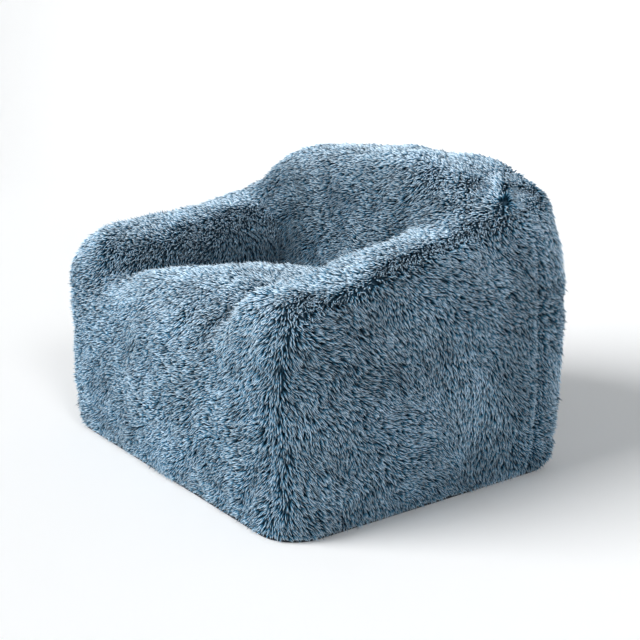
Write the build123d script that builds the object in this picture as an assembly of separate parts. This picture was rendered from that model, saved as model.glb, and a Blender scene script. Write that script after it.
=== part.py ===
from build123d import *

import math
import os

# Armchair-shaped bean bag chair: a faux fur cover of sewn panels over four bead-filled liner bags, with a refill
# zip. Millimetres, +Z up, the front faces -Y and the origin is on the floor under the middle of the chair. Every
# cover panel, liner and fill is cut from the same upholstered form, drawn at a different inset. Right and left are
# those of someone who looks at the chair from the front, so right is +X.

# Overall form, measured over the fur pile
WIDTH = 970.0
DEPTH = 796.0
BACK_HEIGHT = 687.0
ARM_HEIGHT = 473.0  # top of the arm at its front end
ARM_SLOPE = 0.153  # the arm's top rises this much per millimetre towards the back
ARM_WIDTH = 264.0
SEAT_HEIGHT = 404.0
BACK_THICKNESS = 314.0  # at seat level
BACK_LEAN = 0.12  # the back's front face leans away this much per millimetre of height

# Radii of the form
BACK_CORNER_RADIUS = 225.0  # the back's upper corners, seen from the front
BACK_FRONT_RADIUS = 85.0
BACK_REAR_RADIUS = 50.0
ARM_OUTER_RADIUS = 62.0
ARM_INNER_RADIUS = 114.0
ARM_FRONT_RADIUS = 119.0
SEAT_FRONT_RADIUS = 125.0
FRONT_CORNER_RADIUS = 97.0
REAR_CORNER_RADIUS = 115.0

# Layers, from the outside in
COVER_THICKNESS = 14.0  # fur pile and its knitted backing
BASE_THICKNESS = 3.0
BASE_INSET = 10.0  # from the cover's outer face, which overhangs the base
LAYER_GAP = 0.5
LINER_THICKNESS = 1.2

# Seams of the cover
SIDE_SEAM = 55.0  # from the outer side, in over the arm's edge
REAR_SEAM = 140.0  # from the rear, round the corner on the side
SEAM_ALLOWANCE = 3.0

# Refill zip, low on the outer back
ZIP_LENGTH = 610.0
ZIP_BOTTOM = 60.0
TAPE_WIDTH = 13.0
TAPE_THICKNESS = 1.0
TEETH_HEIGHT = 3.0
TEETH_THICKNESS = 2.2
TEETH_GROOVE = 1.2
ZIP_DEPTH = 4.0  # from the cover's outer face to the middle of the tape
STOP_LENGTH = 4.0
STOP_GAP = 0.5  # between the slider and the closed-end stop at rest
SLIDER_LENGTH = 11.0
SLIDER_HEIGHT = 10.4
SLIDER_PLATE = 1.2
SLIDER_CLEARANCE = 0.35
POST_LENGTH = 4.0
POST_THICKNESS = 0.5
PULL_PIN_RADIUS = 0.8
PULL_PIN_CLEARANCE = 0.08
PULL_LENGTH = 28.0
PULL_HEIGHT = 6.0
PULL_THICKNESS = 1.2
LUG_THICKNESS = 1.3
LUG_SPACING = 5.0  # between the lugs' inner faces

# Care label, sewn into the seam under the zip
LABEL_WIDTH = 32.0
LABEL_HEIGHT = 46.0
LABEL_THICKNESS = 0.6
LABEL_X = 352.0

HALF_WIDTH = WIDTH / 2
HALF_DEPTH = DEPTH / 2
SEAT_HALF = HALF_WIDTH - ARM_WIDTH
BACK_FACE_Y = HALF_DEPTH - BACK_THICKNESS  # the back's front face at seat level
ZIP_HEIGHT = 2 * TAPE_WIDTH + 2 * TEETH_HEIGHT + TEETH_GROOVE
ZIP_Z = ZIP_BOTTOM + ZIP_HEIGHT / 2
ZIP_Y = HALF_DEPTH - ZIP_DEPTH
SLIDER_X = ZIP_LENGTH / 2 - STOP_LENGTH - STOP_GAP - SLIDER_LENGTH / 2
REACH = 1200.0  # longer than anything in the chair


def box(x0, x1, y0, y1, z0, z1):
    """A box between two corners."""
    return Pos((x0 + x1) / 2, (y0 + y1) / 2, (z0 + z1) / 2) * Box(x1 - x0, y1 - y0, z1 - z0)


def outline(plane, points, radii):
    """A closed polygon on a plane, with a radius on each corner that radii names by its place in points."""
    face = plane * make_face(Polyline(*points, close=True))
    for place, radius in radii.items():
        corner = plane.from_local_coords(points[place])
        vertex = min(face.vertices(), key=lambda v: (v.center() - corner).length)
        face = fillet(vertex, radius)
    return face


def arm_top(y, inset):
    """Height of the arm's sloping top at y, moved in by inset."""
    return ARM_HEIGHT + ARM_SLOPE * (y + HALF_DEPTH) - inset * math.hypot(1, ARM_SLOPE)


def back_face(z, inset):
    """Place in Y of the back's leaning front face at height z, moved in by inset."""
    return BACK_FACE_Y + BACK_LEAN * (z - SEAT_HEIGHT) + inset * math.hypot(1, BACK_LEAN)


def plan_prism(inset, bottom):
    """The footprint with its rounded corners, from bottom upwards."""
    x, y = HALF_WIDTH - inset, HALF_DEPTH - inset
    points = [(-x, -y), (x, -y), (x, y), (-x, y)]
    front, rear = FRONT_CORNER_RADIUS - inset, REAR_CORNER_RADIUS - inset
    face = outline(Plane.XY.offset(bottom), points, {0: front, 1: front, 2: rear, 3: rear})
    return extrude(face, BACK_HEIGHT)


def right_arm(inset, bottom):
    """The arm at +X: a rounded section swept up its slope, with the front of its top rounded off."""
    start = -HALF_DEPTH - ARM_HEIGHT / 4
    inner, outer, top = SEAT_HALF + inset, HALF_WIDTH - inset, arm_top(start, inset)
    section = outline(
        Plane.XZ.offset(-start),
        [(inner, -ARM_HEIGHT), (outer, -ARM_HEIGHT), (outer, top), (inner, top)],
        {2: ARM_OUTER_RADIUS - inset, 3: ARM_INNER_RADIUS - inset},
    )
    swept = extrude(section, REACH, dir=(0, 1, ARM_SLOPE))
    front, rear = -HALF_DEPTH + inset, HALF_DEPTH - inset
    profile = outline(
        Plane.YZ,
        [(front, bottom), (rear, bottom), (rear, arm_top(rear, inset)), (front, arm_top(front, inset))],
        {3: ARM_FRONT_RADIUS - inset},
    )
    return swept & extrude(profile, REACH)


def seat_block(inset, bottom):
    """The seat between the arms, running under them and under the back."""
    front, rear, top = -HALF_DEPTH + inset, HALF_DEPTH - REAR_SEAM, SEAT_HEIGHT - inset
    profile = outline(
        Plane.YZ,
        [(front, bottom), (rear, bottom), (rear, top), (front, top)],
        {3: SEAT_FRONT_RADIUS - inset},
    )
    return extrude(profile, SEAT_HALF + ARM_WIDTH / 2, both=True)


def back_block(inset, bottom):
    """The back, full width, with a leaning front face and large upper corners."""
    side, top, rear = HALF_WIDTH - inset, BACK_HEIGHT - inset, HALF_DEPTH - inset
    corner = BACK_CORNER_RADIUS - inset
    seen_from_front = outline(
        Plane.XZ.offset(-HALF_DEPTH - SEAM_ALLOWANCE),
        [(-side, bottom), (side, bottom), (side, top), (-side, top)],
        {2: corner, 3: corner},
    )
    profile = outline(
        Plane.YZ,
        [(back_face(bottom, inset), bottom), (rear, bottom), (rear, top), (back_face(top, inset), top)],
        {2: BACK_REAR_RADIUS - inset, 3: BACK_FRONT_RADIUS - inset},
    )
    return extrude(seen_from_front, REACH) & extrude(profile, REACH, both=True)


def form(inset, bottom):
    """The whole upholstered form moved in by inset and standing on bottom."""
    arm = right_arm(inset, bottom)
    blocks = back_block(inset, bottom) + seat_block(inset, bottom) + arm + mirror(arm, Plane.YZ)
    return blocks & plan_prism(inset, bottom)


def behind_back_face(inset):
    """Everything behind the back's front face moved in by inset."""
    low, high = -REACH, REACH
    profile = make_face(
        Polyline(
            (back_face(low, inset), low),
            (REACH, low),
            (REACH, high),
            (back_face(high, inset), high),
            close=True,
        )
    )
    return extrude(Plane.YZ * profile, REACH, both=True)


def zip_window():
    """The opening in the seam between the outer back and the band below it that the zip fills."""
    return box(
        -ZIP_LENGTH / 2, ZIP_LENGTH / 2,
        HALF_DEPTH - COVER_THICKNESS - SEAM_ALLOWANCE, REACH,
        ZIP_BOTTOM, ZIP_BOTTOM + ZIP_HEIGHT,
    )


def cover_panels():
    """The fur cover, cut along its seams into the panels it is sewn from."""
    shell = form(0, BASE_THICKNESS) - form(COVER_THICKNESS, BASE_THICKNESS)
    side_x = HALF_WIDTH - SIDE_SEAM
    rear_y = HALF_DEPTH - REAR_SEAM
    seat_x = SEAT_HALF - SEAM_ALLOWANCE
    rear_zone = box(-REACH, REACH, rear_y, REACH, -REACH, REACH)
    left_zone = box(-REACH, -side_x, -REACH, REACH, -REACH, REACH)
    seat_zone = box(-seat_x, seat_x, -REACH, REACH, -REACH, REACH)
    back_zone = behind_back_face(-SEAM_ALLOWANCE)
    below_zip = box(-REACH, REACH, -REACH, REACH, -REACH, ZIP_Z)
    rear = (shell & rear_zone) - zip_window()
    ahead_of_rear = shell - rear_zone
    middle = ahead_of_rear - left_zone - mirror(left_zone, Plane.YZ)
    ahead_of_back = middle - back_zone
    left_half = box(-REACH, 0, -REACH, REACH, -REACH, REACH)
    left_side = ahead_of_rear & left_zone
    left_arm = (ahead_of_back - seat_zone) & left_half
    return {
        "outer_back_panel": rear - below_zip,
        "lower_back_band": rear & below_zip,
        "right_side_panel": mirror(left_side, Plane.YZ),
        "left_side_panel": left_side,
        "inner_back_panel": middle & back_zone,
        "seat_front_panel": ahead_of_back & seat_zone,
        "right_arm_panel": mirror(left_arm, Plane.YZ),
        "left_arm_panel": left_arm,
    }


def compartment_zones(inset):
    """Where each filled bag lies inside the cover, drawn in by inset from the walls between the bags."""
    wall_x = SEAT_HALF + COVER_THICKNESS + LAYER_GAP
    back_zone = behind_back_face(COVER_THICKNESS + LAYER_GAP + inset)
    ahead = box(-REACH, REACH, -REACH, REACH, -REACH, REACH) - behind_back_face(
        COVER_THICKNESS - LAYER_GAP - inset
    )
    right_zone = box(wall_x + inset, REACH, -REACH, REACH, -REACH, REACH)
    seat_x = wall_x - 2 * LAYER_GAP - inset
    seat_zone = box(-seat_x, seat_x, -REACH, REACH, -REACH, REACH)
    return {
        "back": back_zone,
        "right_arm": ahead & right_zone,
        "left_arm": ahead & mirror(right_zone, Plane.YZ),
        "seat": ahead & seat_zone,
    }


def liners_and_fills():
    """The four liner bags and the beads that fill each one."""
    outer_inset = COVER_THICKNESS + LAYER_GAP
    bag = form(outer_inset, BASE_THICKNESS + LAYER_GAP)
    beads = form(outer_inset + LINER_THICKNESS, BASE_THICKNESS + LAYER_GAP + LINER_THICKNESS)
    bag_zones, bead_zones = compartment_zones(0), compartment_zones(LINER_THICKNESS)
    made = {}
    for name, zone in bag_zones.items():
        fill = beads & bead_zones[name]
        made[name + "_bead_fill"] = fill
        made[name + "_liner"] = (bag & zone) - fill
    return made


def base_panel():
    """The woven base cloth that the fur panels are sewn down to."""
    return plan_prism(BASE_INSET, 0) & box(-REACH, REACH, -REACH, REACH, 0, BASE_THICKNESS)


def zip_rows():
    """The tapes, the rows of teeth and the stops, above and below the groove that the slider's post runs in."""
    tape_y, teeth_y = TAPE_THICKNESS / 2, TEETH_THICKNESS / 2
    half, row_start = ZIP_LENGTH / 2, TEETH_GROOVE / 2
    row_end = row_start + TEETH_HEIGHT
    tape_end = ZIP_HEIGHT / 2
    stop_x = half - STOP_LENGTH
    made = {}
    for name, side in (("upper", 1), ("lower", -1)):
        tape = box(-half, half, ZIP_Y - tape_y, ZIP_Y + tape_y, row_end, tape_end)
        teeth = box(-stop_x, stop_x, ZIP_Y - teeth_y, ZIP_Y + teeth_y, row_start, row_end)
        for part, solid in (("zip_tape_", tape), ("zip_teeth_", teeth)):
            placed = solid if side > 0 else mirror(solid, Plane.XY)
            made[part + name] = Pos(0, 0, ZIP_Z) * placed
    stop = box(stop_x, half, ZIP_Y - teeth_y, ZIP_Y + teeth_y, -row_end, row_end)
    made["zip_closed_end_stop"] = Pos(0, 0, ZIP_Z) * stop
    made["zip_open_end_stop"] = Pos(0, 0, ZIP_Z) * mirror(stop, Plane.YZ)
    return made


def slider_face_y():
    """Place in Y of the slider's outer face."""
    return ZIP_Y + TEETH_THICKNESS / 2 + SLIDER_CLEARANCE + SLIDER_PLATE


def pull_pin_y():
    """Place in Y of the pin that the pull swings on, clear of the slider's outer face."""
    return slider_face_y() + SLIDER_CLEARANCE + PULL_PIN_RADIUS + SLIDER_PLATE


def zip_slider():
    """Two plates joined by a post in the teeth's groove, with two lugs that carry the pull's pin."""
    half_x, half_z = SLIDER_LENGTH / 2, SLIDER_HEIGHT / 2
    outer_y = slider_face_y()
    inner_y = 2 * ZIP_Y - outer_y
    channel_y = TEETH_THICKNESS / 2 + SLIDER_CLEARANCE
    plates = box(-half_x, half_x, inner_y, outer_y, -half_z, half_z) - box(
        -REACH, REACH, ZIP_Y - channel_y, ZIP_Y + channel_y, -REACH, REACH
    )
    post = box(-half_x, POST_LENGTH - half_x, inner_y, outer_y, -POST_THICKNESS / 2, POST_THICKNESS / 2)
    lug_z = LUG_SPACING / 2
    pin_y = pull_pin_y()
    lug_face = Plane.XY.offset(lug_z) * (
        Pos(0, pin_y) * Circle(2 * PULL_PIN_RADIUS) + Pos(0, (outer_y + pin_y) / 2) * Rectangle(
            4 * PULL_PIN_RADIUS, pin_y - outer_y
        )
    )
    lug = extrude(lug_face, LUG_THICKNESS)
    pin = Pos(0, pin_y, 0) * Cylinder(PULL_PIN_RADIUS, LUG_SPACING + LUG_THICKNESS)
    body = plates + post + lug + mirror(lug, Plane.XY) + pin
    return Pos(SLIDER_X, 0, ZIP_Z) * body


def zip_pull():
    """A flat tab with an eye that turns on the slider's pin, lying back along the closed teeth."""
    pin_y = pull_pin_y()
    eye_radius = PULL_PIN_RADIUS + PULL_THICKNESS
    eye_height = LUG_SPACING - 2 * SLIDER_CLEARANCE
    eye = Pos(0, pin_y, 0) * Cylinder(eye_radius, eye_height)
    tab_y = pin_y + PULL_THICKNESS / 2
    tab_start = SLIDER_LENGTH / 2
    neck = box(-tab_start, 0, tab_y - PULL_THICKNESS, tab_y, -eye_height / 2, eye_height / 2)
    tab_face = Plane.XZ.offset(-tab_y) * (
        Pos(-(tab_start + PULL_LENGTH) / 2, 0)
        * RectangleRounded(PULL_LENGTH - tab_start, PULL_HEIGHT, PULL_HEIGHT / 3)
    )
    tab = extrude(tab_face, PULL_THICKNESS)
    hole = Pos(0, pin_y, 0) * Cylinder(PULL_PIN_RADIUS + PULL_PIN_CLEARANCE, REACH)
    return Pos(SLIDER_X, 0, ZIP_Z) * (eye + neck + tab - hole)


def care_label():
    """A blank woven label that hangs from the seam beside the zip, flat against the outer back."""
    top = ZIP_BOTTOM + ZIP_HEIGHT
    return box(
        LABEL_X, LABEL_X + LABEL_WIDTH,
        HALF_DEPTH + LAYER_GAP, HALF_DEPTH + LAYER_GAP + LABEL_THICKNESS,
        top - LABEL_HEIGHT, top,
    )


def all_nodes():
    """Every node of the chair by name."""
    return {
        **cover_panels(),
        "base_panel": base_panel(),
        **liners_and_fills(),
        **zip_rows(),
        "zip_slider": zip_slider(),
        "zip_pull": zip_pull(),
        "care_label": care_label(),
    }


os.makedirs("parts", exist_ok=True)
for node, shape in all_nodes().items():
    export_step(shape, f"parts/{node}.step")
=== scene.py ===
import math

import bmesh
import bpy
import numpy as np
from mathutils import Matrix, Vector, kdtree


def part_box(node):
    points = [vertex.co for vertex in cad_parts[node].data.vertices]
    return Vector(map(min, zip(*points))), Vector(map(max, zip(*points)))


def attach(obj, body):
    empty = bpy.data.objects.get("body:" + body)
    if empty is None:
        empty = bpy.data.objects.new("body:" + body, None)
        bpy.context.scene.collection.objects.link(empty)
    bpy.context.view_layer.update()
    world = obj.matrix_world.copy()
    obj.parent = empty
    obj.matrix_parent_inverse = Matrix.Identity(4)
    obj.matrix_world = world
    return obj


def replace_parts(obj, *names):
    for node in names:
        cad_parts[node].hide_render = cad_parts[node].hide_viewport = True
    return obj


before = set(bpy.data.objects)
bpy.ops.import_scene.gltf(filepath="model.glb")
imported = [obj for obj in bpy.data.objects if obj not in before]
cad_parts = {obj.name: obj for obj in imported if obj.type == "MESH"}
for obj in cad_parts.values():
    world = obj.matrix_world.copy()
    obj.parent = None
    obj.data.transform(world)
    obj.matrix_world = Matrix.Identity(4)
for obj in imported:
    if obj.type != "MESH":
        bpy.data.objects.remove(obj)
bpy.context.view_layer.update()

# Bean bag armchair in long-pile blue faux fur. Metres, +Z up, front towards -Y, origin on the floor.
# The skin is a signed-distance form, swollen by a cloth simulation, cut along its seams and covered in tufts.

SEED = 7

# ---------------------------------------------------------------- dimensions, from the frame where it has one
HALF_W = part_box("right_side_panel")[1].x
HALF_D = -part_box("seat_front_panel")[0].y
BACK_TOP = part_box("inner_back_panel")[1].z
SEAT_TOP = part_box("seat_front_panel")[1].z
SEAT_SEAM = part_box("seat_front_panel")[1].x
SIDE_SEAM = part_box("right_side_panel")[0].x
REAR_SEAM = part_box("outer_back_panel")[0].y
BASE_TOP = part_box("base_panel")[1].z
ZIP_LOW, ZIP_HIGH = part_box("zip_tape_lower")[0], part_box("zip_tape_upper")[1]
ZIP_SEAM = (ZIP_LOW.z + ZIP_HIGH.z) / 2

SEAT_HALF = SEAT_SEAM + 0.003
ARM_FRONT_TOP = 0.473
ARM_SLOPE = 0.153
WAIST, WAIST_FRONT = 0.010, 0.0055  # how far the sides and the front draw in at the floor
BACK_FACE = 0.0835  # y of the back's front face at seat level
BACK_LEAN = 0.12
BACK_SEAM = BACK_FACE - 0.003  # y of the seam between the back and the seat at seat level
HEM = BASE_TOP + 0.001  # height of the fur's lower edge

PILE = 0.013  # height of the combed pile over the skin
SKIN_THICKNESS = 0.005
GRID = 0.016  # of the skin before its one subdivision


# ---------------------------------------------------------------- noise and signed-distance helpers
def smooth_step(x, low, high):
    """0 below low, 1 above high, smooth between."""
    t = np.clip((x - low) / (high - low), 0, 1)
    return t * t * (3 - 2 * t)


def wave_noise(points, scale, seed, waves=14):
    """Smooth noise of about -1 to 1 with features of that scale in metres."""
    rng = np.random.default_rng(seed)
    directions = rng.normal(size=(waves, 3))
    directions /= np.linalg.norm(directions, axis=1, keepdims=True)
    frequencies = directions * (math.pi / scale) * rng.uniform(0.6, 1.4, (waves, 1))
    phases = rng.uniform(0, 2 * math.pi, waves)
    return np.sin(points @ frequencies.T + phases).sum(axis=-1) / math.sqrt(waves)


def join(a, b, radius):
    """Union of two distances with a rounded valley."""
    overlap = np.hypot(np.maximum(radius - a, 0), np.maximum(radius - b, 0))
    return np.maximum(radius, np.minimum(a, b)) - overlap


def meet(a, b, radius):
    """Intersection of two distances with a rounded edge."""
    overlap = np.hypot(np.maximum(radius + a, 0), np.maximum(radius + b, 0))
    return np.minimum(-radius, np.maximum(a, b)) + overlap


# ---------------------------------------------------------------- the chair's form
SIDE_SWELL = 0.0195  # how far each side bulges at half the arm's height
FRONT_SWELL, MIDDLE_SWELL = 0.007, 0.008  # the front's bulge, and what is added to it between the arms
REAR_SWELL = 0.0195  # the rear's bulge at half its height
MIDDLE_HALF = 0.30  # half the width over which the front's middle counts as between the arms
VALLEY, VALLEY_X, VALLEY_WIDTH = 0.009, 0.212, 0.055  # the hollow down the front below each arm's inner edge
FRONT_CORNER, REAR_CORNER = 0.095, 0.111  # corner radii as seen from above

# each pair is for the chair's right and its left
ARM_SWOOP = (0.030, 0.010)  # extra rise where the arm meets the back
ARM_SLUMP = (-0.014, 0.010)  # what the arm's front part stands above or below its slope
ARM_ROUND, ARM_TWIST = 0.114, 0.06  # radius of the arm's inner edge, and the right one's gain at the front
SEAT_SHIFT = 0.045  # how far the seat's front leans to the left
SEAT_CROWN, CROWN_DEPTH = 0.040, 0.13  # the crown's height over the seat's seam, and distance from the front
CROWN_FALL_ACROSS, CROWN_FALL_ALONG = 0.046, 0.29
SEAT_CREASE, BACK_CREASE = 0.02, 0.022  # radii of the folds beside the seat and in front of the back
EDGE_ROUND = 0.050  # radius of the arms' outer edges
FRONT_ROLL, MIDDLE_ROLL = 0.060, 0.015  # what it gains along the front, and more between the arms

PILLOW, PILLOW_HALF = 0.010, 0.42  # how far the back's face bulges, and half the width of the bulge
BACK_DROP = (0.010, 0.028)  # how far the back's top falls towards its sides
BACK_SHOULDER = (0.250, 0.225)  # radius of the back's upper corners
BACK_REAR_ROUND, BACK_FACE_ROUND = 0.030, 0.085  # radii of its top's rear and front edges
FLOOR_ROUND = 0.018


def side_of(x, pair):
    """The first of a pair on the chair's right, the second on its left."""
    return np.where(x > 0, *pair)


def upright_walls(across, y, z, middle):
    """Distances from the side, the rear and all four walls: drawn in at the floor and swollen above it."""
    low = np.clip(z / ARM_FRONT_TOP, 0, 1.4)
    belly = 4 * low * (1 - low)
    high = np.clip(z / BACK_TOP, 0, 1)
    side = across - HALF_W + WAIST - SIDE_SWELL * belly
    valley = VALLEY * np.exp(-(((across - VALLEY_X) / VALLEY_WIDTH) ** 2)) * smooth_step(z, 0.10, 0.36)
    front = -y - HALF_D + WAIST_FRONT - (FRONT_SWELL + MIDDLE_SWELL * middle) * belly + valley
    rear = y - HALF_D + WAIST_FRONT - 4 * REAR_SWELL * high * (1 - high)
    return side, rear, meet(meet(side, front, FRONT_CORNER), rear, REAR_CORNER)


def arms_and_seat(x, z, depth):
    """Distance from the tops of the arms, which rise to the rear, and of the crowned seat between them."""
    swoop = side_of(x, ARM_SWOOP) * smooth_step(depth, 0.40, 0.62)
    right_slump, left_slump = ARM_SLUMP
    slump = np.where(x > 0, right_slump * smooth_step(depth, 0.0, 0.12), left_slump)
    slump = slump * (1 - smooth_step(depth, 0.14, 0.38))
    arm_top = (z - ARM_FRONT_TOP - ARM_SLOPE * depth - swoop - slump) / math.hypot(1, ARM_SLOPE)
    twist = 1 - smooth_step(depth, 0.0, 0.26)
    between = np.abs(x + SEAT_SHIFT * twist)
    crown = SEAT_CROWN - CROWN_FALL_ACROSS * (between / SEAT_HALF) ** 2
    crown = crown - CROWN_FALL_ALONG * (depth - CROWN_DEPTH) ** 2
    arm = meet(arm_top, SEAT_HALF - between, ARM_ROUND + ARM_TWIST * twist * (x > 0))
    return join(arm, z - SEAT_TOP - crown, SEAT_CREASE)


def backrest(x, y, z, side, rear):
    """Distance from the back, between its leaning face and the chair's rear."""
    across = np.abs(x)
    pillow = PILLOW * (1 - np.clip(across / PILLOW_HALF, 0, 1) ** 2)
    pillow = pillow * smooth_step(z, SEAT_TOP, SEAT_TOP + 0.12)
    face = (BACK_FACE + BACK_LEAN * (z - SEAT_TOP) - y) / math.hypot(1, BACK_LEAN) - pillow
    top = z - BACK_TOP + side_of(x, BACK_DROP) * (across / HALF_W) ** 2
    back = meet(meet(side, top, side_of(x, BACK_SHOULDER)), rear, BACK_REAR_ROUND)
    return meet(back, face, BACK_FACE_ROUND)


def form(p):
    """Distance from the chair's surface over the pile, negative inside."""
    x, y, z = p[..., 0], p[..., 1], p[..., 2]
    across, depth = np.abs(x), y + HALF_D
    middle = np.clip(1 - (across / MIDDLE_HALF) ** 2, 0, 1)
    side, rear, walls = upright_walls(across, y, z, middle)
    nose = 1 - smooth_step(depth, 0.10 * middle, 0.22 + 0.08 * middle)
    edge = EDGE_ROUND + (FRONT_ROLL + MIDDLE_ROLL * middle) * nose
    body = meet(arms_and_seat(x, z, depth), walls, edge)
    back = np.maximum(backrest(x, y, z, side, rear), walls)
    body = np.maximum(join(body, back, BACK_CREASE), walls)
    return meet(body, -z, FLOOR_ROUND)


def gradient(field, p, step=0.0015):
    """Unit normals of the field at points p."""
    g = np.empty_like(p)
    for axis in range(3):
        shift = np.zeros(3)
        shift[axis] = step
        g[..., axis] = field(p + shift) - field(p - shift)
    return g / np.maximum(np.linalg.norm(g, axis=-1, keepdims=True), 1e-9)


def skin_field(p):
    """The form without its pile: the knitted backing that the tufts grow from."""
    return form(p) + PILE


def surface_net(field, room, cell):
    """A closed quad mesh of the field's zero surface, sought in the chair's box and that room around it."""
    low = np.array((-HALF_W - room, -HALF_D - room, -room))
    high = np.array((HALF_W + room, HALF_D + room, BACK_TOP + room))
    counts = np.ceil((high - low) / cell).astype(int) + 1
    marks = [low[k] + cell * np.arange(counts[k]) for k in range(3)]
    grid = np.stack(np.meshgrid(*marks, indexing="ij"), -1)
    value = field(grid)
    total, hits = np.zeros((*(counts - 1), 3)), np.zeros(counts - 1)
    for axis in range(3):
        others = [k for k in range(3) if k != axis]
        for a, b in ((0, 0), (0, 1), (1, 0), (1, 1)):
            start = [slice(0, -1)] * 3
            start[others[0]] = slice(a, counts[others[0]] - 1 + a)
            start[others[1]] = slice(b, counts[others[1]] - 1 + b)
            end = list(start)
            end[axis] = slice(1, None)
            v0, v1 = value[tuple(start)], value[tuple(end)]
            crossed = (v0 < 0) != (v1 < 0)
            t = v0[crossed] / (v0[crossed] - v1[crossed])
            point = grid[tuple(start)][crossed]
            point[:, axis] += t * cell
            total[crossed] += point
            hits[crossed] += 1
    used = hits > 0
    index = np.full(counts - 1, -1)
    index[used] = np.arange(used.sum())
    quads = []
    for axis in range(3):
        j, k = [(1, 2), (2, 0), (0, 1)][axis]
        inner = [slice(1, -1)] * 3
        inner[axis] = slice(0, -1)
        beyond = list(inner)
        beyond[axis] = slice(1, None)
        here, there = value[tuple(inner)] < 0, value[tuple(beyond)] < 0
        for rising in (True, False):
            crossed = here & ~there if rising else ~here & there
            at = np.argwhere(crossed)
            at[:, j] += 1
            at[:, k] += 1
            corners = []
            for dj, dk in ((-1, -1), (0, -1), (0, 0), (-1, 0)):
                cell_at = at.copy()
                cell_at[:, j] += dj
                cell_at[:, k] += dk
                corners.append(index[tuple(cell_at.T)])
            quads.append(np.stack(corners if rising else corners[::-1], axis=-1))
    return total[used] / hits[used][:, None], np.concatenate(quads)


def settle(verts, field, rounds=8):
    """Moves points onto the field's zero surface."""
    for _ in range(rounds):
        verts = verts - 0.9 * field(verts)[:, None] * gradient(field, verts)
    return verts


# ---------------------------------------------------------------- mesh helpers
def make_mesh(name, verts, faces):
    """An object from vertices and equal-sided faces, given as arrays."""
    verts, faces = np.asarray(verts, dtype=np.float32), np.asarray(faces, dtype=np.int32)
    mesh = bpy.data.meshes.new(name)
    mesh.vertices.add(len(verts))
    mesh.vertices.foreach_set("co", verts.ravel())
    mesh.loops.add(faces.size)
    mesh.loops.foreach_set("vertex_index", faces.ravel())
    mesh.polygons.add(len(faces))
    mesh.polygons.foreach_set("loop_start", np.arange(len(faces), dtype=np.int32) * faces.shape[1])
    mesh.update(calc_edges=True)
    mesh.shade_smooth()
    obj = bpy.data.objects.new(name, mesh)
    bpy.context.scene.collection.objects.link(obj)
    return obj


def vertex_array(mesh):
    """The mesh's vertices as an array."""
    co = np.empty(len(mesh.vertices) * 3, dtype=np.float32)
    mesh.vertices.foreach_get("co", co)
    return co.reshape(-1, 3).astype(float)


def apply_modifiers(obj):
    """Replaces the object's mesh with its modified one."""
    made = bpy.data.meshes.new_from_object(obj.evaluated_get(bpy.context.evaluated_depsgraph_get()))
    obj.modifiers.clear()
    obj.data = made


PIN_LEAST = 0.01  # a weight below this pins nothing


def puff(obj, pinned, pressure, cap, frames=20):
    """Swells a closed mesh as cloth under pressure. Pinned vertices stay, and no point moves beyond cap."""
    rest = vertex_array(obj.data)
    group = obj.vertex_groups.new(name="pinned")
    for i in np.nonzero(pinned > PIN_LEAST)[0]:
        group.add([int(i)], float(pinned[i]), "REPLACE")
    cloth = obj.modifiers.new("cloth", "CLOTH")
    cloth.settings.vertex_group_mass = "pinned"
    cloth.settings.use_pressure = True
    cloth.settings.uniform_pressure_force = pressure
    cloth.settings.effector_weights.gravity = 0
    cloth.settings.quality = 4
    cloth.collision_settings.use_collision = False
    cloth.point_cache.frame_start, cloth.point_cache.frame_end = 1, frames
    for number in range(1, frames + 1):
        bpy.context.scene.frame_set(number)
    apply_modifiers(obj)
    bpy.context.scene.frame_set(1)
    move = vertex_array(obj.data) - rest
    length = np.linalg.norm(move, axis=1, keepdims=True)
    move *= np.minimum(1, cap / np.maximum(length, 1e-9))
    obj.data.vertices.foreach_set("co", (rest + move).astype(np.float32).ravel())
    obj.data.update()


# ---------------------------------------------------------------- the skin
SEAM_REACH = 0.010
SEAM_DEPTHS = (0.0070, 0.0015, 0.0005, 0.002, 0.003)  # for the rear, side, seat, back and zip seams
TOP_EASE = 0.05  # keeps the seams' pull off the back's top, where they hardly show
LUMPS = ((0.0035, 0.11, 21), (0.0015, 0.045, 22))  # height, size and seed of the beads' lumps under the skin


def back_seam_at(z):
    """The y of the seam between the back and the seat or the arms, at height z."""
    return BACK_SEAM + BACK_LEAN * (z - SEAT_TOP)


def seams(p):
    """Distance from each kind of seam of the cover, in metres: rear, side, seat, back and zip."""
    x, y, z = p[:, 0], p[:, 1], p[:, 2]
    across = np.abs(x)
    back_seam = back_seam_at(z)
    eased = TOP_EASE * smooth_step(z, 0.50, 0.62)
    rear = np.abs(y - REAR_SEAM) + eased
    side = np.where(y < REAR_SEAM, np.abs(across - SIDE_SEAM), 1.0)
    seat = np.where(y < back_seam, np.abs(across - SEAT_SEAM), 1.0)
    back = np.where((across < SIDE_SEAM) & (z > SEAT_TOP - 0.05), np.abs(y - back_seam) + eased, 1.0)
    band = np.where(y > REAR_SEAM, np.abs(z - ZIP_SEAM), 1.0)
    return rear, side, seat, back, band


def pull_in(p):
    """How far the stitching pulls the skin in at each point: most at the rear seam, hardly by the seat."""
    return sum(depth * np.exp(-((away / SEAM_REACH) ** 2)) for depth, away in zip(SEAM_DEPTHS, seams(p)))


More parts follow.
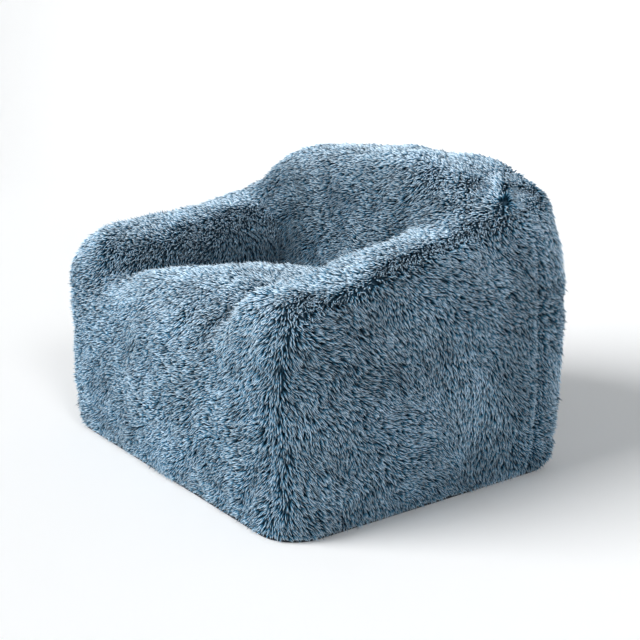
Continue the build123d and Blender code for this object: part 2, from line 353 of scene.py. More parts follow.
def build_skin():
    """The whole skin in one closed mesh, swollen, dented and pulled in along its seams."""
    verts, quads = surface_net(skin_field, 0.03, GRID)
    verts = settle(verts, skin_field)
    skin = make_mesh("skin", verts, quads)
    near_seam = 1 - smooth_step(np.minimum.reduce(seams(verts)), 0.006, 0.03)
    grounded = 1 - smooth_step(verts[:, 2], 0.01, 0.05)
    puff(skin, np.maximum(near_seam, grounded), pressure=2.5, cap=0.007)
    finer = skin.modifiers.new("finer", "SUBSURF")
    finer.levels = finer.render_levels = 1
    apply_modifiers(skin)
    verts = vertex_array(skin.data)
    normals = gradient(skin_field, verts)
    lumps = sum(height * wave_noise(verts, size, seed) for height, size, seed in LUMPS)
    above_floor = smooth_step(verts[:, 2], 0.005, 0.04)
    verts += ((lumps - pull_in(verts)) * above_floor)[:, None] * normals
    verts[:, 2] = np.maximum(verts[:, 2], BASE_TOP)
    skin.data.vertices.foreach_set("co", verts.astype(np.float32).ravel())
    skin.data.update()
    return skin


def cut_along_seams(skin):
    """Cuts edges into the skin where the seams run, so that the panels part along clean lines."""
    bm = bmesh.new()
    bm.from_mesh(skin.data)
    lean = Vector((0, 1, -BACK_LEAN)).normalized()
    cuts = [
        ((0, REAR_SEAM, 0), (0, 1, 0)),
        ((0, 0, ZIP_SEAM), (0, 0, 1)),
        ((0, BACK_SEAM, SEAT_TOP), lean),
        ((0, 0, HEM), (0, 0, 1)),
    ]
    for sign in (1, -1):
        cuts.append(((sign * SIDE_SEAM, 0, 0), (1, 0, 0)))
        cuts.append(((sign * SEAT_SEAM, 0, 0), (1, 0, 0)))
    for place, normal in cuts:
        everything = bm.verts[:] + bm.edges[:] + bm.faces[:]
        bmesh.ops.bisect_plane(bm, geom=everything, dist=1e-5, plane_co=place, plane_no=normal)
    bmesh.ops.triangulate(bm, faces=bm.faces[:])
    bm.to_mesh(skin.data)
    bm.free()


PANELS = [
    "outer_back_panel", "lower_back_band", "right_side_panel", "left_side_panel",
    "inner_back_panel", "seat_front_panel", "right_arm_panel", "left_arm_panel",
]


def panel_of(centres):
    """The place in PANELS of each point, or -1 under the chair."""
    x, y, z = centres.T
    across = np.abs(x)
    panel = np.where(x > 0, PANELS.index("right_arm_panel"), PANELS.index("left_arm_panel"))
    panel[across < SEAT_SEAM] = PANELS.index("seat_front_panel")
    panel[y > back_seam_at(z)] = PANELS.index("inner_back_panel")
    panel[x > SIDE_SEAM] = PANELS.index("right_side_panel")
    panel[x < -SIDE_SEAM] = PANELS.index("left_side_panel")
    panel[(y > REAR_SEAM) & (z > ZIP_SEAM)] = PANELS.index("outer_back_panel")
    panel[(y > REAR_SEAM) & (z <= ZIP_SEAM)] = PANELS.index("lower_back_band")
    panel[z < HEM] = -1
    return panel


def split_panels(skin):
    """One open mesh of the skin for each panel, as (vertices, triangles, normals)."""
    verts = vertex_array(skin.data)
    tris = np.empty(len(skin.data.polygons) * 3, dtype=np.int32)
    skin.data.polygons.foreach_get("vertices", tris)
    tris = tris.reshape(-1, 3)
    normals = np.empty(len(verts) * 3, dtype=np.float32)
    skin.data.vertex_normals.foreach_get("vector", normals)
    normals = normals.reshape(-1, 3).astype(float)
    owner = panel_of(verts[tris].mean(axis=1))
    made = {}
    for number, name in enumerate(PANELS):
        mine = tris[owner == number]
        used, local = np.unique(mine, return_inverse=True)
        made[name] = (verts[used], local.reshape(-1, 3), normals[used])
    return made


# ---------------------------------------------------------------- fur
TUFT_SPACING = 0.0040
TRIES_PER_TUFT = 4  # random points taken for each cell of that size, so that few cells stay empty
TUFT_LENGTH = 0.0215
TUFT_RADIUS = 0.00122
CLUMP_SPACING = 0.009
CLUMPING = 0.18
WIDEST = 0.64  # how far up a tuft is widest
ROOT_SUNK = 0.002  # how deep a tuft starts in its backing
THICKNESSES = (0.75, 1.1)  # of a tuft at its root and where it is widest, in its radius
RISE, LEAN = 0.36, 0.22  # how far a tuft's bend lies up and along, in its length
STAND, STAND_SPREAD = 0.50, 0.14  # how high its tip stands, and how much that varies
REACH = 0.86  # how far its tip lies along
SEAM_SHORTENING = 50  # share of a tuft's length lost for each metre that the stitching pulls in
UNRULY, EDGE_UNRULY = 0.20, 1.6  # how far tufts stray from the lay, anywhere and more on the upper edges
PAINTED_SHADOW_SHARE = 0.24  # share of tufts painted dark all the way up: painted shadow for the shaded gaps among the others
PAINTED_SHADOW_TONES, TONES = (0, 0.15), (0.6, 1)  # how light a tuft with painted shadow and any other may be
BACK_FACE_PAINTED_SHADE = 0.36  # how much darker the tufts are painted on the back's front face: painted shade for the hollow between the arms
TUFTS_PER_PIECE = 19500  # keeps each piece's mesh light enough to export whole
SORTED_ALONG = np.array([0.3, 1.0, 0.2])  # the direction in which a panel's tufts are shared out to pieces

LAY = (-0.45, -0.35, -1.0)  # which way the pile lies: down, a little to the front and to the left
WHORL = np.array([0.41, 0.22, 0.545])  # where the pile parts, high on the arm's meeting with the back
WHORL_FORCE, WHORL_REACH = 1.3, 0.06
SWIRLS = ((0.42, 0.13, 31), (0.30, 0.045, 32))  # angle, size and seed of the swirls in the pile
FLOOR_GAP = 0.0015  # lowest that a tuft hangs
ZIP_GAP = 0.0085  # how far the pile stays from the zip's middle


def unit(v):
    """Vectors scaled to length 1."""
    return v / np.maximum(np.linalg.norm(v, axis=-1, keepdims=True), 1e-9)


def turned(v, axis, angle):
    """Vectors v turned about unit vectors axis, both at right angles, by angle."""
    return v * np.cos(angle)[:, None] + np.cross(axis, v) * np.sin(angle)[:, None]


def combed(p, n):
    """Unit vectors along the skin, the way the pile lies at points p with normals n."""
    lay = np.tile(LAY, (len(p), 1))
    outer = smooth_step(np.abs(n[:, 0]), 0.35, 0.98) * (np.abs(p[:, 0]) > HALF_W - 0.14)
    lay[:, 0] += 0.90 * smooth_step(p[:, 0], 0.37, 0.47)  # outwards at the right arm's outer edge
    lay[:, 0] -= 1.15 * smooth_step(-n[:, 1], 0.60, 0.99)  # to the left down the front
    lay[:, 1] += 0.95 * outer  # to the rear down the sides
    lay[:, 0] *= 1 - outer
    for sign in (1, -1):
        away = p - WHORL * (sign, 1, 1)
        reach = np.linalg.norm(away, axis=1, keepdims=True)
        lay += unit(away) * WHORL_FORCE * np.exp(-((reach / WHORL_REACH) ** 2))
    lay = unit(lay - (lay * n).sum(axis=1, keepdims=True) * n)
    return turned(lay, n, sum(angle * wave_noise(p, size, seed) for angle, size, seed in SWIRLS))


def scatter(verts, tris, normals, spacing, rng):
    """Evenly spread random points on a mesh, with their normals."""
    corners = verts[tris]
    edges = corners[:, 1:] - corners[:, :1]
    areas = np.linalg.norm(np.cross(edges[:, 0], edges[:, 1]), axis=1) / 2
    count = int(areas.sum() / spacing**2 * TRIES_PER_TUFT)
    pick = rng.choice(len(tris), count, p=areas / areas.sum())
    u, v = rng.random(count), rng.random(count)
    flip = u + v > 1
    u[flip], v[flip] = 1 - u[flip], 1 - v[flip]
    weights = np.stack([1 - u - v, u, v], axis=1)[:, :, None]
    points = (corners[pick] * weights).sum(axis=1)
    facing = unit((normals[tris[pick]] * weights).sum(axis=1))
    _, first = np.unique(np.floor(points / spacing).astype(int), axis=0, return_index=True)
    keep = np.sort(first)
    return points[keep], facing[keep]


def shorten(roots, points, factor):
    """Pulls a tuft's points towards its root."""
    return roots + (points - roots) * factor[:, None]


def clear_of_zip(roots, mids, tips):
    """Trims the tufts beside the zip so that none reaches over its teeth, and says which to drop."""
    beside = (np.abs(roots[:, 0]) < ZIP_HIGH.x + 0.045) & (roots[:, 1] > REAR_SEAM + 0.05)
    over = (np.abs(roots[:, 0]) < ZIP_HIGH.x + 0.005) & beside
    dropped = over & (roots[:, 2] > ZIP_LOW.z - 0.001) & (roots[:, 2] < ZIP_HIGH.z + 0.001)
    far = np.abs(roots[:, 2] - ZIP_SEAM)
    reach = np.maximum(np.abs(tips[:, 2] - roots[:, 2]), np.abs(mids[:, 2] - roots[:, 2]))
    room = np.maximum(far - ZIP_GAP, 0.0005)
    towards = (np.sign(tips[:, 2] - roots[:, 2]) != np.sign(roots[:, 2] - ZIP_SEAM)) & beside
    factor = np.where(towards, np.clip(room / np.maximum(reach, 1e-6), 0.1, 1), 1.0)
    return shorten(roots, mids, factor), shorten(roots, tips, factor), dropped


def grow(roots, n, rng):
    """Root, middle and tip of each tuft, with its normal, radius and tone."""
    lay = combed(roots, n)
    edge = smooth_step(np.abs(n[:, 0]), 0.25, 0.95)
    unruly = UNRULY + EDGE_UNRULY * edge * (1 - edge) * smooth_step(n[:, 2], 0.2, 0.7)
    lay = turned(lay, n, rng.normal(0, 1, len(roots)) * unruly)
    length = TUFT_LENGTH * rng.uniform(0.75, 1.2, len(roots))
    length *= 1 - SEAM_SHORTENING * pull_in(roots)
    stand = np.clip(rng.normal(STAND, STAND_SPREAD, len(roots)), 0.15, 0.9)
    control = roots + n * (RISE * length)[:, None] + lay * (LEAN * length)[:, None]
    tips = roots + n * (stand * length)[:, None] + lay * (REACH * length)[:, None]
    leader = rng.random(len(roots)) < (TUFT_SPACING / CLUMP_SPACING) ** 2
    leaders = np.nonzero(leader)[0]
    tree = kdtree.KDTree(len(leaders))
    for place, i in enumerate(leaders):
        tree.insert(roots[i], place)
    tree.balance()
    followed = leaders[[tree.find(p)[1] for p in roots]]
    tips += CLUMPING * (tips[followed] - tips) * rng.uniform(0.5, 1.5, len(roots))[:, None]
    mids = (1 - WIDEST) ** 2 * roots + 2 * WIDEST * (1 - WIDEST) * control + WIDEST**2 * tips
    mids, tips, dropped = clear_of_zip(roots, mids, tips)
    for part in (mids, tips):
        part[:, 2] = np.maximum(part[:, 2], FLOOR_GAP)
    radius = TUFT_RADIUS * rng.uniform(0.75, 1.25, len(roots))
    # painted shadow: some tufts are dark all the way up, standing for the shaded gaps in the pile
    painted_shadow = rng.random(len(roots)) < PAINTED_SHADOW_SHARE
    tone = np.where(painted_shadow, rng.uniform(*PAINTED_SHADOW_TONES, len(roots)), rng.uniform(*TONES, len(roots)))
    # painted shade: the back's front face, down in the hollow between the arms, is painted darker
    tone -= BACK_FACE_PAINTED_SHADE * smooth_step(-n[:, 1], 0.3, 0.8) * (roots[:, 1] > 0)
    keep = ~dropped
    return [a[keep] for a in (roots, mids, tips, n, radius, tone)]


def tuft_mesh(name, roots, mids, tips, n, radius, tone):
    """One closed, tapered, bent, three-sided strand for each tuft."""
    count = len(roots)
    aside = unit(np.cross(n, tips - roots))
    verts = np.empty((count, 7, 3))
    centres = (roots - n * ROOT_SUNK, mids)
    directions = (unit(mids - roots), unit(tips - roots))
    for ring, (centre, along, size) in enumerate(zip(centres, directions, THICKNESSES)):
        up = np.cross(aside, along)
        for corner in range(3):
            angle = math.pi / 2 + corner * 2 * math.pi / 3
            arm = aside * math.cos(angle) + up * -math.sin(angle)
            verts[:, ring * 3 + corner] = centre + arm * (radius * size)[:, None]
    verts[:, 6] = tips
    pattern = [(2, 1, 0)]
    for a in range(3):
        b = (a + 1) % 3
        pattern += [(a, b, 3 + b), (a, 3 + b, 3 + a), (3 + a, 3 + b, 6)]
    faces = (np.arange(count)[:, None, None] * 7 + np.array(pattern)[None]).reshape(-1, 3)
    obj = make_mesh(name, verts.reshape(-1, 3), faces)
    height = np.tile([0, 0, 0, WIDEST, WIDEST, WIDEST, 1.0], count).astype(np.float32)
    for label, values in (("tip", height), ("tone", np.repeat(tone, 7).astype(np.float32))):
        obj.data.attributes.new(label, "FLOAT", "POINT").data.foreach_set("value", values)
    add_tuft_map(obj.data, count)
    return obj


def add_tuft_map(mesh, count):
    """A flat map for baking, with a cell of its own for each tuft and the strand running up it."""
    side = math.ceil(math.sqrt(count))
    low, mid, high = 0.2, 0.58, 0.96  # of the strand in its cell, above its root's own triangle
    corners = [(0.5, 0.16), (0.9, 0.04), (0.1, 0.04)]
    for a in range(3):
        left, right = 0.08 + 0.28 * a, 0.08 + 0.28 * (a + 1)
        middle = (left + right) / 2
        corners += [(left, low), (right, low), (right, mid)]
        corners += [(left, low), (right, mid), (left, mid)]
        corners += [(left, mid), (right, mid), (middle, high)]
    cell = np.arange(count)
    origin = np.stack([cell % side, cell // side], axis=1)[:, None, :]
    uv = (origin + np.array(corners)[None]) / side
    mesh.uv_layers.new(name="OFBake").data.foreach_set("uv", uv.astype(np.float32).ravel())


def ride(obj, body="chair"):
    """Puts a finished piece on its body."""
    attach(obj, body)
    return obj


def build_fur(name, verts, tris, normals, rng, material):
    """The pile of one panel, in pieces of at most TUFTS_PER_PIECE tufts."""
    roots, facing = scatter(verts, tris, normals, TUFT_SPACING, rng)
    grown = grow(roots, facing, rng)
    order = np.argsort(grown[0] @ SORTED_ALONG)
    chunks = math.ceil(len(order) / TUFTS_PER_PIECE)
    for number, mine in enumerate(np.array_split(order, chunks), start=1):
        piece = tuft_mesh(f"{name}_fur_{number}", *[a[mine] for a in grown])
        piece.data.materials.append(material)
        ride(piece)
    return len(order)


# ---------------------------------------------------------------- materials
def new_material(name):
    """A node material, with its nodes, its links and its shader."""
    material = bpy.data.materials.new(name)
    material.use_nodes = True
    nodes = material.node_tree.nodes
    return material, nodes, material.node_tree.links, nodes["Principled BSDF"]


def ramp(nodes, stops):
    """A colour ramp from (place, colour) stops."""
    node = nodes.new("ShaderNodeValToRGB")
    elements = node.color_ramp.elements
    while len(elements) < len(stops):
        elements.new(0.5)
    for element, (place, colour) in zip(elements, stops):
        element.position = place
        element.color = (*colour, 1)
    return node


def noise_node(nodes, links, scale, detail=3.0):
    """Noise in the object's own coordinates."""
    node, place = nodes.new("ShaderNodeTexNoise"), nodes.new("ShaderNodeTexCoord")
    node.inputs["Scale"].default_value = scale
    node.inputs["Detail"].default_value = detail
    links.new(place.outputs["Object"], node.inputs["Vector"])
    return node


# the root's near-black is painted shade for the depth of the pile
FUR_SHADED_ROOT = (0.001, 0.020, 0.040)
FUR_MIDDLE = (0.062, 0.200, 0.320)
FUR_TIP = (0.590, 0.715, 0.820)
FUR_STOPS = (0.36, 0.62, 0.88)  # how far up a tuft each of them lies
TONE_WEIGHT = 0.9  # of a tuft's own tone against its patch's


def fur_material():
    """Dark at the root as painted shade deep in the pile and pale at the tip, with each tuft and each patch a
    little lighter or darker, and painted shade on some tufts and on the back's front face.
    """
    material, nodes, links, shader = new_material("faux_fur")
    tip, tone = nodes.new("ShaderNodeAttribute"), nodes.new("ShaderNodeAttribute")
    tip.attribute_name, tone.attribute_name = "tip", "tone"
    along = ramp(nodes, list(zip(FUR_STOPS, (FUR_SHADED_ROOT, FUR_MIDDLE, FUR_TIP))))
    links.new(tip.outputs["Fac"], along.inputs["Fac"])
    patches = noise_node(nodes, links, 9.0)
    shade = nodes.new("ShaderNodeMath")
    shade.operation = "MULTIPLY_ADD"
    shade.inputs[1].default_value = TONE_WEIGHT
    links.new(tone.outputs["Fac"], shade.inputs[0])
    links.new(patches.outputs["Fac"], shade.inputs[2])
    tint = nodes.new("ShaderNodeHueSaturation")
    links.new(along.outputs["Color"], tint.inputs["Color"])
    value = nodes.new("ShaderNodeMapRange")
    for end, number in (("From Min", 0.45), ("From Max", 1.45), ("To Min", 0.28), ("To Max", 1.34)):
        value.inputs[end].default_value = number
    links.new(shade.outputs["Value"], value.inputs["Value"])
    links.new(value.outputs["Result"], tint.inputs["Value"])
    links.new(tint.outputs["Color"], shader.inputs["Base Color"])
    shader.inputs["Roughness"].default_value = 0.62
    shader.inputs["Specular IOR Level"].default_value = 0.05
    return material


def cloth_material(name, dark, pale, thread):
    """Plain-woven cloth with threads of that width in metres, uneven in colour."""
    material, nodes, links, shader = new_material(name)
    place = nodes.new("ShaderNodeTexCoord")
    weave = nodes.new("ShaderNodeTexBrick")
    weave.offset = 0.5
    weave.inputs["Scale"].default_value = 1.0
    weave.inputs["Brick Width"].default_value = 2 * thread
    weave.inputs["Row Height"].default_value = thread
    weave.inputs["Mortar Size"].default_value = 0.18 * thread
    weave.inputs["Color1"].default_value = (*pale, 1)
    weave.inputs["Color2"].default_value = (*[0.8 * c for c in pale], 1)
    weave.inputs["Mortar"].default_value = (*dark, 1)
    links.new(place.outputs["Object"], weave.inputs["Vector"])
    patches = noise_node(nodes, links, 14.0)
    tint = nodes.new("ShaderNodeHueSaturation")
    value = nodes.new("ShaderNodeMapRange")
    value.inputs["To Min"].default_value, value.inputs["To Max"].default_value = 0.75, 1.25
    links.new(patches.outputs["Fac"], value.inputs["Value"])
    links.new(value.outputs["Result"], tint.inputs["Value"])
    links.new(weave.outputs["Color"], tint.inputs["Color"])
    links.new(tint.outputs["Color"], shader.inputs["Base Color"])
    height = nodes.new("ShaderNodeBump")
    height.inputs["Strength"].default_value = 0.35
    height.inputs["Distance"].default_value = thread / 2
    height.invert = True
    links.new(weave.outputs["Fac"], height.inputs["Height"])
    links.new(height.outputs["Normal"], shader.inputs["Normal"])
    shader.inputs["Roughness"].default_value = 0.85
    return material


def backing_material():
    """The fur's knitted backing, with the short underfleece that shows between tufts, coloured near-black
    blue as painted shade down between the tufts.
    """
    material, nodes, links, shader = new_material("fur_backing")
    fleece = noise_node(nodes, links, 420.0, 4.0)
    # painted shade: the backing's dark blues stand for the shade down between the tufts
    colour = ramp(nodes, [(0.3, (0.002, 0.017, 0.034)), (0.7, (0.018, 0.070, 0.120))])
    links.new(fleece.outputs["Fac"], colour.inputs["Fac"])
    links.new(colour.outputs["Color"], shader.inputs["Base Color"])
    height = nodes.new("ShaderNodeBump")
    height.inputs["Strength"].default_value = 0.7
    height.inputs["Distance"].default_value = 0.002
    links.new(fleece.outputs["Fac"], height.inputs["Height"])
    links.new(height.outputs["Normal"], shader.inputs["Normal"])
    shader.inputs["Roughness"].default_value = 0.95
    return material


def grained_material(name, scale, detail, stops, roughness):
    """A smooth surface with a fine grain in its colour, and the grain's node."""
    material, nodes, links, shader = new_material(name)
    grain, colour = noise_node(nodes, links, scale, detail), ramp(nodes, stops)
    links.new(grain.outputs["Fac"], colour.inputs["Fac"])
    links.new(colour.outputs["Color"], shader.inputs["Base Color"])
    shader.inputs["Roughness"].default_value = roughness
    return material, grain


def plated_material():
    """Plated metal with fine brushing and worn patches."""
    stops = [(0.3, (0.448, 0.448, 0.464)), (0.7, (0.56, 0.56, 0.58))]
    material, brushed = grained_material("zip_plating", 900.0, 2.0, stops, 0.30)
    nodes, links = material.node_tree.nodes, material.node_tree.links
    shader, rough = nodes["Principled BSDF"], nodes.new("ShaderNodeMapRange")
    shader.inputs["Metallic"].default_value = 1.0
    rough.inputs["To Min"].default_value, rough.inputs["To Max"].default_value = 0.22, 0.40
    links.new(brushed.outputs["Fac"], rough.inputs["Value"])
    links.new(rough.outputs["Result"], shader.inputs["Roughness"])
    return material


def bead_material():
    """Packed expanded beads, three to five millimetres across, white in each bead's middle and grey towards
    its edge as painted shade between the beads.
    """
    material, nodes, links, shader = new_material("expanded_beads")
    place, cells = nodes.new("ShaderNodeTexCoord"), nodes.new("ShaderNodeTexVoronoi")
    cells.inputs["Scale"].default_value = 240.0
    links.new(place.outputs["Object"], cells.inputs["Vector"])
    # painted shade: grey towards each bead's edge, where the beads meet
    colour = ramp(nodes, [(0.0, (0.86, 0.86, 0.86)), (0.6, (0.45, 0.46, 0.48))])
    links.new(cells.outputs["Distance"], colour.inputs["Fac"])
    links.new(colour.outputs["Color"], shader.inputs["Base Color"])
    height = nodes.new("ShaderNodeBump")
    height.invert = True
    height.inputs["Distance"].default_value = 0.003
    links.new(cells.outputs["Distance"], height.inputs["Height"])
    links.new(height.outputs["Normal"], shader.inputs["Normal"])
    shader.inputs["Roughness"].default_value = 0.6
    return material


# ---------------------------------------------------------------- pieces
def object_from(name, bm):
    """An object from a bmesh, which is freed."""
    mesh = bpy.data.meshes.new(name)
    bm.to_mesh(mesh)
    bm.free()
    obj = bpy.data.objects.new(name, mesh)
    bpy.context.scene.collection.objects.link(obj)
    return obj


def join_rings(bm, rings):
    """Faces between each ring of vertices and the next."""
    for ring, beyond in zip(rings, rings[1:]):
        for a in range(len(ring)):
            b = (a + 1) % len(ring)
            bm.faces.new([ring[a], ring[b], beyond[b], beyond[a]])


def closed_shell(name, verts, tris, thickness):
    """An open mesh thickened inwards into a closed shell."""
    obj = make_mesh(name, verts, tris)
    shell = obj.modifiers.new("shell", "SOLIDIFY")
    shell.thickness = thickness
    shell.offset = -1
    shell.use_rim = True
    apply_modifiers(obj)
    return obj


def build_cover():
    """The sewn panels of the cover: a backing shell each, and the fur on it."""
    skin = build_skin()
    cut_along_seams(skin)
    panels = split_panels(skin)
    bpy.data.objects.remove(skin)
    backing, fur = backing_material(), fur_material()
    tufts = 0
    for number, (name, (verts, tris, normals)) in enumerate(panels.items()):
        rng = np.random.default_rng(SEED + number)
        shell = closed_shell(f"{name}_backing", verts, tris, SKIN_THICKNESS)
        shell.data.materials.append(backing)
        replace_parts(ride(shell), name)
        tufts += build_fur(name, verts, tris, normals, rng, fur)
    print("tufts", tufts)


LINER_DEPTH = 0.034  # of the liners' outer face under the pile's
LINER_SHEET = 0.002
LINER_GAP = 0.0005  # between a liner and its beads
BAG_GAP = 0.004  # between neighbouring bags
WALL_X = SEAT_HALF + 0.016  # inner face of the arms' bags
WALL_Y = BACK_FACE + 0.016  # front face of the back's bag at seat level
BAG_LUMPS = (0.0025, 0.07, 41)  # height, size and seed


def compartment(name, inset):
    """The field of one filled bag, drawn in by inset."""

    def field(p):
        x, y, z = p[..., 0], p[..., 1], p[..., 2]
        behind = (WALL_Y + BACK_LEAN * (z - SEAT_TOP) - y) + inset
        ahead = -behind + 2 * inset + BAG_GAP
        wall = {
            "back": behind,
            "seat": np.maximum(ahead, np.abs(x) - WALL_X + BAG_GAP + inset),
            "right_arm": meet(ahead, WALL_X - x + inset, 0.02),
            "left_arm": meet(ahead, WALL_X + x + inset, 0.02),
        }[name]
        bag = meet(form(p) + LINER_DEPTH + inset, wall, 0.03)
        bag = np.maximum(bag, BASE_TOP + 0.003 + inset - z)
        height, size, seed = BAG_LUMPS
        return bag + height * wave_noise(p, size, seed)

    return field


def build_bags():
    """The four liner bags and the beads in them."""
    room, cell = 0.01, 0.014
    liner_cloth = cloth_material("liner_cloth", (0.42, 0.42, 0.40), (0.78, 0.78, 0.75), 0.0012)
    beads = bead_material()
    for name in ("seat", "back", "right_arm", "left_arm"):
        outer, outer_faces = surface_net(compartment(name, 0.0), room, cell)
        hollow, hollow_faces = surface_net(compartment(name, LINER_SHEET - LINER_GAP), room, cell)
        verts = np.concatenate([outer, hollow])
        faces = np.concatenate([outer_faces, hollow_faces[:, ::-1] + len(outer)])
        liner = make_mesh(f"{name}_liner_bag", verts, faces)
        liner.data.materials.append(liner_cloth)
        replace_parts(ride(liner), f"{name}_liner")
        fill = make_mesh(f"{name}_beads", *surface_net(compartment(name, LINER_SHEET), room, cell))
        fill.data.materials.append(beads)
        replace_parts(ride(fill), f"{name}_bead_fill")


def swept_bar(name, section, x0, x1, steps):
    """A closed bar along X with that outline in Y and Z."""
    bm = bmesh.new()
    rings = [[bm.verts.new((x, y, z)) for y, z in section] for x in np.linspace(x0, x1, steps + 1)]
    join_rings(bm, rings)
    bm.faces.new(rings[0][::-1])
    bm.faces.new(rings[-1])
    bmesh.ops.recalc_face_normals(bm, faces=bm.faces[:])
    return object_from(name, bm)


def soften(obj, width):
    """Small rounded edges."""
    bevel = obj.modifiers.new("edges", "BEVEL")
    bevel.width = width
    bevel.segments = 2
    bevel.limit_method = "ANGLE"


TOOTH_PITCH = 0.0025
TOOTH_WIDTHS = (0.702, 0.558)  # of a tooth at its inner and its outer face, in pitches
CORD, CORD_WIDTH = 0.0011, 0.003  # how far the tape's corded edge stands out, and its width


def build_tape(which, sign, material):
    """One woven tape of the zip, with its edge corded beside the teeth."""
    low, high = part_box(f"zip_tape_{which}")
    inner, outer = (low.z, high.z) if sign > 0 else (high.z, low.z)
    cord_end, cord_middle = inner + sign * CORD_WIDTH, inner + sign * CORD_WIDTH / 2
    near, far = low.y, high.y
    section = [
        (near, outer), (near, cord_end), (near - CORD / 2, cord_middle), (near, inner),
        (far, inner), (far + CORD / 2, cord_middle), (far, cord_end), (far, outer),
    ]
    tape = swept_bar(f"zip_tape_{which}_weave", section, low.x, high.x, 60)
    tape.data.materials.append(material)
    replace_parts(ride(tape), f"zip_tape_{which}")


def build_teeth(which, sign, material):
    """One row of teeth, a tooth at every pitch, set half a pitch from the other row's."""
    low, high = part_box(f"zip_teeth_{which}")
    size, middle = high - low, (low + high) / 2
    count = int(size.x / TOOTH_PITCH)
    inner_width, outer_width = TOOTH_WIDTHS
    bm = bmesh.new()
    for i in range(count):
        x = low.x + (i + 0.5 + 0.25 * sign) * size.x / count
        for v in bmesh.ops.create_cube(bm, size=1.0)["verts"]:
            v.co.x *= TOOTH_PITCH * (outer_width if v.co.y > 0 else inner_width)
            v.co.y *= size.y
            v.co.z *= size.z
            v.co += Vector((x, middle.y, middle.z))
    bmesh.ops.bevel(bm, geom=bm.edges[:], offset=0.00025, segments=1, affect="EDGES")
    row = object_from(f"zip_teeth_{which}_row", bm)
    row.data.materials.append(material)
    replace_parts(ride(row), f"zip_teeth_{which}")


def build_zip():
    """Woven tapes and nylon teeth, with the plated slider, pull and stops."""
    cloth = cloth_material("zip_tape_cloth", (0.010, 0.018, 0.030), (0.050, 0.085, 0.130), 0.0006)
    nylon_stops = [(0.35, (0.030, 0.050, 0.080)), (0.65, (0.050, 0.080, 0.120))]
    nylon, _ = grained_material("zip_nylon", 700.0, 3.0, nylon_stops, 0.38)
    for which, sign in (("upper", 1), ("lower", -1)):
        build_tape(which, sign, cloth)
        build_teeth(which, sign, nylon)
    plated = plated_material()
    for name in ("zip_slider", "zip_pull", "zip_closed_end_stop", "zip_open_end_stop"):
        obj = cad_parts[name]
        obj.data.materials.clear()
        obj.data.materials.append(plated)
        soften(obj, 0.00025)


BASE_INSET = 0.012  # of the base's edge from the fur's hem
# signs of x and y, and radius, of each corner
BASE_CORNERS = ((1, 1, 0.100), (-1, 1, 0.100), (-1, -1, 0.084), (1, -1, 0.084))
# scale and height of each ring of the hem, from its outer edge inwards
HEM_RINGS = [(1.0, 0.0012), (1.0, 0.0022), (0.998, 0.0030), (0.990, 0.0030), (0.986, 0.0020)]


def base_outline(turns=24):
    """The base's rounded rectangle, as points."""
    across, along = HALF_W - WAIST - BASE_INSET, HALF_D - WAIST_FRONT - BASE_INSET
    outline = []
    for corner, (sx, sy, radius) in enumerate(BASE_CORNERS):
        for k in range(turns + 1):
            angle = math.pi / 2 * (corner + k / turns)
            x = sx * (across - radius) + radius * math.cos(angle)
            y = sy * (along - radius) + radius * math.sin(angle)
            outline.append((x, y))
    return np.array(outline)


def build_base():
    """The base cloth with a rolled hem round its edge."""
    outline = base_outline()
    over = HEM_RINGS + [(s, 0.0020) for s in np.linspace(0.93, 0.03, 16)]
    under = [(s, 0.0) for s in np.linspace(0.03, 0.986, 17)] + [(0.996, 0.0)]
    bm = bmesh.new()
    rings = [[bm.verts.new((s * x, s * y, z)) for x, y in outline] for s, z in over + under]
    upper, lower = rings[:len(over)], rings[len(over):]
    join_rings(bm, upper)
    join_rings(bm, lower + upper[:1])
    bm.faces.new(upper[-1])
    bm.faces.new(lower[0])
    bmesh.ops.recalc_face_normals(bm, faces=bm.faces[:])
    base = object_from("base_cloth", bm)
    weave = cloth_material("base_weave", (0.004, 0.006, 0.010), (0.030, 0.040, 0.055), 0.0016)
    base.data.materials.append(weave)
    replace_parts(ride(base), "base_panel")


LABEL_CURL, LABEL_CUP = 0.0022, 0.0008  # how far the label's free end curls to the rear, and cups across


def build_label():
    """A blank woven label with a slight curl at its free end."""
    low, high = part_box("care_label")
    columns, rows = 12, 18
    bm = bmesh.new()
    layers = []
    for y in (low.y, high.y):
        layer = []
        for r in range(rows + 1):
            for c in range(columns + 1):
                u, v = c / columns, r / rows
                curl = LABEL_CURL * v * v + LABEL_CUP * math.sin(math.pi * u) * v
                place = (low.x + u * (high.x - low.x), y + curl, high.z - v * (high.z - low.z))
                layer.append(bm.verts.new(place))
        layers.append(layer)
    wide = columns + 1
    for layer in layers:
        for r in range(rows):
            for a in range(r * wide, r * wide + columns):
                bm.faces.new([layer[k] for k in (a, a + 1, a + wide + 1, a + wide)])
    border = list(range(columns)) + [r * wide + columns for r in range(rows)]
    border += [rows * wide + c for c in range(columns, 0, -1)] + [r * wide for r in range(rows, 0, -1)]
    front, rear = layers
    for a, b in zip(border, border[1:] + border[:1]):
        bm.faces.new([front[a], front[b], rear[b], rear[a]])
    bmesh.ops.recalc_face_normals(bm, faces=bm.faces[:])
    label = object_from("care_label_cloth", bm)
    stops = [(0.35, (0.72, 0.72, 0.70)), (0.65, (0.84, 0.84, 0.82))]
    satin, _ = grained_material("label_satin", 300.0, 3.0, stops, 0.5)
    label.data.materials.append(satin)
    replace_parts(ride(label), "care_label")


# ---------------------------------------------------------------- stage, light and camera
FLOOR_RADIUS = 8.0
FLOOR_BEND = 2.0
BACKDROP_TOP = 2.2  # low, so that it shades the chair from none of the suns


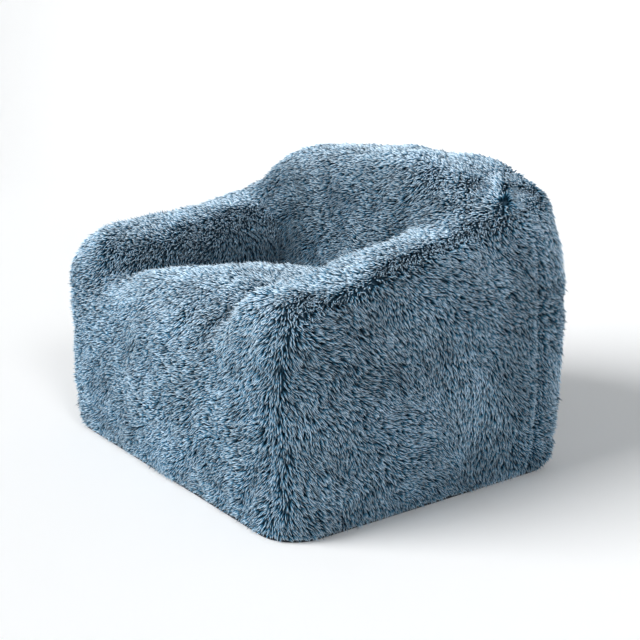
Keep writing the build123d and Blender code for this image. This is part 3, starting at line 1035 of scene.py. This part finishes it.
def build_stage():
    """A pale round floor that sweeps up into its own backdrop."""
    flat, steps, around = FLOOR_RADIUS - FLOOR_BEND, 12, 96
    profile = [(flat / 3, 0.0), (2 * flat / 3, 0.0), (flat, 0.0)]
    for k in range(1, steps + 1):
        angle = math.pi / 2 * k / steps
        profile.append((flat + FLOOR_BEND * math.sin(angle), FLOOR_BEND * (1 - math.cos(angle))))
    profile.append((FLOOR_RADIUS, BACKDROP_TOP))
    turns = [2 * math.pi * k / around for k in range(around)]
    bm = bmesh.new()
    rings = [[bm.verts.new((r * math.cos(t), r * math.sin(t), z)) for t in turns] for r, z in profile]
    join_rings(bm, rings)
    bm.faces.new(rings[0][::-1])
    floor = object_from("floor", bm)
    floor.data.shade_smooth()
    material, _, _, shader = new_material("pale_floor")
    shader.inputs["Base Color"].default_value = (0.97, 0.97, 0.97, 1)
    shader.inputs["Roughness"].default_value = 0.9
    floor.data.materials.append(material)


def add_sun(name, energy, angle, direction):
    """A soft sun that shines from a direction, with its apparent size in degrees."""
    sun = bpy.data.lights.new(name, "SUN")
    sun.energy = energy
    sun.angle = math.radians(angle)
    light = bpy.data.objects.new(name, sun)
    light.rotation_euler = Vector(direction).to_track_quat("Z", "Y").to_euler()
    bpy.context.scene.collection.objects.link(light)


def build_light():
    """A broad low key at the front left, a faint overhead light and a fill on the right, in even daylight."""
    add_sun("key", 4.8, 45, (-0.34, -0.93, 0.50))
    add_sun("overhead", 0.1, 60, (-0.1, 0.2, 1.0))
    add_sun("fill", 0.95, 15, (0.85, -0.20, 0.48))
    world = bpy.data.worlds.new("daylight")
    world.use_nodes = True
    sky = world.node_tree.nodes["Background"]
    sky.inputs["Color"].default_value = (0.88, 0.95, 1.0, 1)
    sky.inputs["Strength"].default_value = 0.20
    bpy.context.scene.world = world
    bpy.context.scene.view_settings.view_transform = "Standard"


def build_camera():
    """The camera, low on the chair's front right corner."""
    target = Vector((0.0586, 0.0, 0.3093))
    azimuth, elevation, distance = math.radians(53.68), math.radians(13.72), 2.524
    level = math.cos(elevation)
    back = Vector((math.sin(azimuth) * level, -math.cos(azimuth) * level, math.sin(elevation)))
    data = bpy.data.cameras.new("camera")
    data.lens, data.sensor_width = 62.09, 36.0
    camera = bpy.data.objects.new("camera", data)
    camera.location = target + back * distance
    camera.rotation_euler = back.to_track_quat("Z", "Y").to_euler()
    bpy.context.scene.collection.objects.link(camera)
    bpy.context.scene.camera = camera


build_camera()
build_stage()
build_light()
build_cover()
build_bags()
build_zip()
build_base()
build_label()

bpy.context.view_layer.update()
